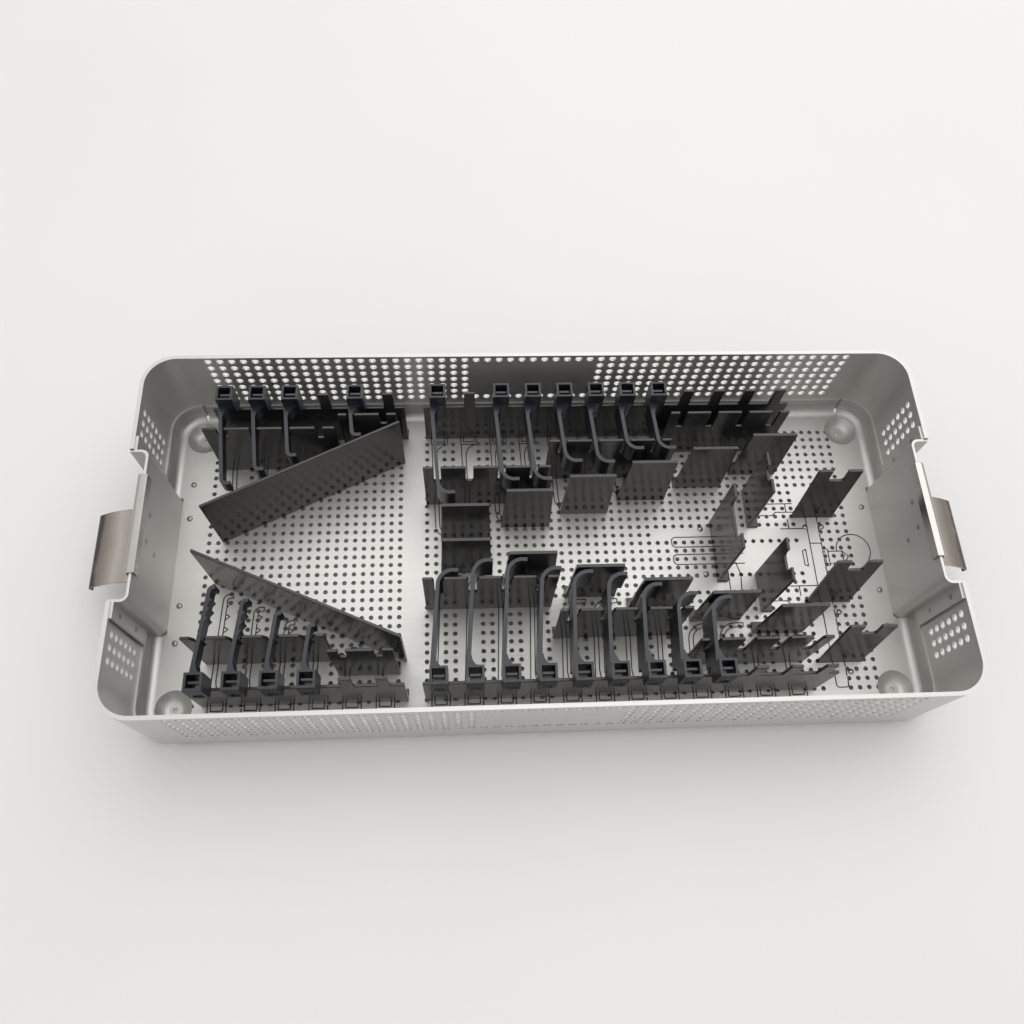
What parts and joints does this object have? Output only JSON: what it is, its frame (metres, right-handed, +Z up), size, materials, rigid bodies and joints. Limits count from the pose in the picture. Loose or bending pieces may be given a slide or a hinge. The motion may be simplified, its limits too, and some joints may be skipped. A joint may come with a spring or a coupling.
{
  "type": "instrument tray",
  "caption": "Perforated rectangular tray on dished feet, with two hinged end handles and coated racks that hold rows of square-socket retractor blades on edge.",
  "frame": {"origin": "middle of the rest plane, under the dished feet", "axes": "+X along the length to the right, +Y to the back wall, +Z up"},
  "size_m": [0.5892, 0.243, 0.082],
  "materials": {
    "tray": "satin",
    "polished": "polished",
    "fasteners": "satin",
    "rack": "semi-gloss black coating",
    "blade": "dark satin coating"
  },
  "bodies": {
    "tray": {"floor_pan": "tray", "pan_edge": "tray", "front_wall": "tray", "back_wall": "tray", "left_end_panel": "tray", "right_end_panel": "tray", "left_bracket": "polished", "right_bracket": "polished", "hinge_pins": "fasteners", "rivets": "fasteners", "hook_peg_plate": "rack", "toothed_peg_plate": "rack", "narrow_peg_plate": "rack", "wide_peg_plate": "rack", "hook_comb": "rack", "hook_comb_short": "rack", "toothed_comb": "rack", "toothed_comb_short": "rack", "narrow_comb_1": "rack", "narrow_comb_2": "rack", "narrow_comb_3": "rack", "wide_comb_1": "rack", "wide_comb_2": "rack", "wide_comb_3": "rack", "hook_divider": "rack", "toothed_divider": "rack", "narrow_toe_stops": "rack", "wide_toe_stops": "rack", "arm_cradle_1": "rack", "arm_cradle_2": "rack", "arm_cradle_3": "rack", "bar_cradle_1": "rack", "bar_cradle_2": "rack", "bar_cradle_3": "rack"},
    "hook_blade_1": {"hook_blade_1": "blade"},
    "hook_blade_2": {"hook_blade_2": "blade"},
    "hook_blade_3": {"hook_blade_3": "blade"},
    "hook_blade_4": {"hook_blade_4": "blade"},
    "toothed_blade_1": {"toothed_blade_1": "blade"},
    "toothed_blade_2": {"toothed_blade_2": "blade"},
    "toothed_blade_3": {"toothed_blade_3": "blade"},
    "toothed_blade_4": {"toothed_blade_4": "blade"},
    "narrow_blade_1": {"narrow_blade_1": "blade"},
    "narrow_blade_2": {"narrow_blade_2": "blade"},
    "narrow_blade_3": {"narrow_blade_3": "blade"},
    "narrow_blade_4": {"narrow_blade_4": "blade"},
    "narrow_blade_5": {"narrow_blade_5": "blade"},
    "narrow_blade_6": {"narrow_blade_6": "blade"},
    "narrow_blade_7": {"narrow_blade_7": "blade"},
    "wide_blade_1": {"wide_blade_1": "blade"},
    "wide_blade_2": {"wide_blade_2": "blade"},
    "wide_blade_3": {"wide_blade_3": "blade"},
    "wide_blade_4": {"wide_blade_4": "blade"},
    "wide_blade_5": {"wide_blade_5": "blade"},
    "wide_blade_6": {"wide_blade_6": "blade"},
    "wide_blade_7": {"wide_blade_7": "blade"},
    "wide_blade_8": {"wide_blade_8": "blade"},
    "wide_blade_9": {"wide_blade_9": "blade"},
    "left_handle": {"left_handle": "polished"},
    "right_handle": {"right_handle": "polished"}
  },
  "joints": [
    {"name": "left_handle_hinge", "type": "hinge", "parent": "tray", "child": "left_handle", "pos_m": [-0.2595, 0, 0.0422], "axis": [0, 1, 0], "range_deg": [0, 83]},
    {"name": "right_handle_hinge", "type": "hinge", "parent": "tray", "child": "right_handle", "pos_m": [0.2595, 0, 0.0422], "axis": [0, -1, 0], "range_deg": [0, 83]},
    {"name": "hook_blade_1_lift", "type": "slide", "parent": "tray", "child": "hook_blade_1", "axis": [0, 0, 1], "range_m": [0, 0.06]},
    {"name": "hook_blade_2_lift", "type": "slide", "parent": "tray", "child": "hook_blade_2", "axis": [0, 0, 1], "range_m": [0, 0.06]},
    {"name": "hook_blade_3_lift", "type": "slide", "parent": "tray", "child": "hook_blade_3", "axis": [0, 0, 1], "range_m": [0, 0.06]},
    {"name": "hook_blade_4_lift", "type": "slide", "parent": "tray", "child": "hook_blade_4", "axis": [0, 0, 1], "range_m": [0, 0.06]},
    {"name": "toothed_blade_1_lift", "type": "slide", "parent": "tray", "child": "toothed_blade_1", "axis": [0, 0, 1], "range_m": [0, 0.06]},
    {"name": "toothed_blade_2_lift", "type": "slide", "parent": "tray", "child": "toothed_blade_2", "axis": [0, 0, 1], "range_m": [0, 0.06]},
    {"name": "toothed_blade_3_lift", "type": "slide", "parent": "tray", "child": "toothed_blade_3", "axis": [0, 0, 1], "range_m": [0, 0.06]},
    {"name": "toothed_blade_4_lift", "type": "slide", "parent": "tray", "child": "toothed_blade_4", "axis": [0, 0, 1], "range_m": [0, 0.06]},
    {"name": "narrow_blade_1_lift", "type": "slide", "parent": "tray", "child": "narrow_blade_1", "axis": [0, 0, 1], "range_m": [0, 0.06]},
    {"name": "narrow_blade_2_lift", "type": "slide", "parent": "tray", "child": "narrow_blade_2", "axis": [0, 0, 1], "range_m": [0, 0.06]},
    {"name": "narrow_blade_3_lift", "type": "slide", "parent": "tray", "child": "narrow_blade_3", "axis": [0, 0, 1], "range_m": [0, 0.06]},
    {"name": "narrow_blade_4_lift", "type": "slide", "parent": "tray", "child": "narrow_blade_4", "axis": [0, 0, 1], "range_m": [0, 0.06]},
    {"name": "narrow_blade_5_lift", "type": "slide", "parent": "tray", "child": "narrow_blade_5", "axis": [0, 0, 1], "range_m": [0, 0.06]},
    {"name": "narrow_blade_6_lift", "type": "slide", "parent": "tray", "child": "narrow_blade_6", "axis": [0, 0, 1], "range_m": [0, 0.06]},
    {"name": "narrow_blade_7_lift", "type": "slide", "parent": "tray", "child": "narrow_blade_7", "axis": [0, 0, 1], "range_m": [0, 0.06]},
    {"name": "wide_blade_1_lift", "type": "slide", "parent": "tray", "child": "wide_blade_1", "axis": [0, 0, 1], "range_m": [0, 0.06]},
    {"name": "wide_blade_2_lift", "type": "slide", "parent": "tray", "child": "wide_blade_2", "axis": [0, 0, 1], "range_m": [0, 0.06]},
    {"name": "wide_blade_3_lift", "type": "slide", "parent": "tray", "child": "wide_blade_3", "axis": [0, 0, 1], "range_m": [0, 0.06]},
    {"name": "wide_blade_4_lift", "type": "slide", "parent": "tray", "child": "wide_blade_4", "axis": [0, 0, 1], "range_m": [0, 0.06]},
    {"name": "wide_blade_5_lift", "type": "slide", "parent": "tray", "child": "wide_blade_5", "axis": [0, 0, 1], "range_m": [0, 0.06]},
    {"name": "wide_blade_6_lift", "type": "slide", "parent": "tray", "child": "wide_blade_6", "axis": [0, 0, 1], "range_m": [0, 0.06]},
    {"name": "wide_blade_7_lift", "type": "slide", "parent": "tray", "child": "wide_blade_7", "axis": [0, 0, 1], "range_m": [0, 0.06]},
    {"name": "wide_blade_8_lift", "type": "slide", "parent": "tray", "child": "wide_blade_8", "axis": [0, 0, 1], "range_m": [0, 0.06]},
    {"name": "wide_blade_9_lift", "type": "slide", "parent": "tray", "child": "wide_blade_9", "axis": [0, 0, 1], "range_m": [0, 0.06]}
  ]
}
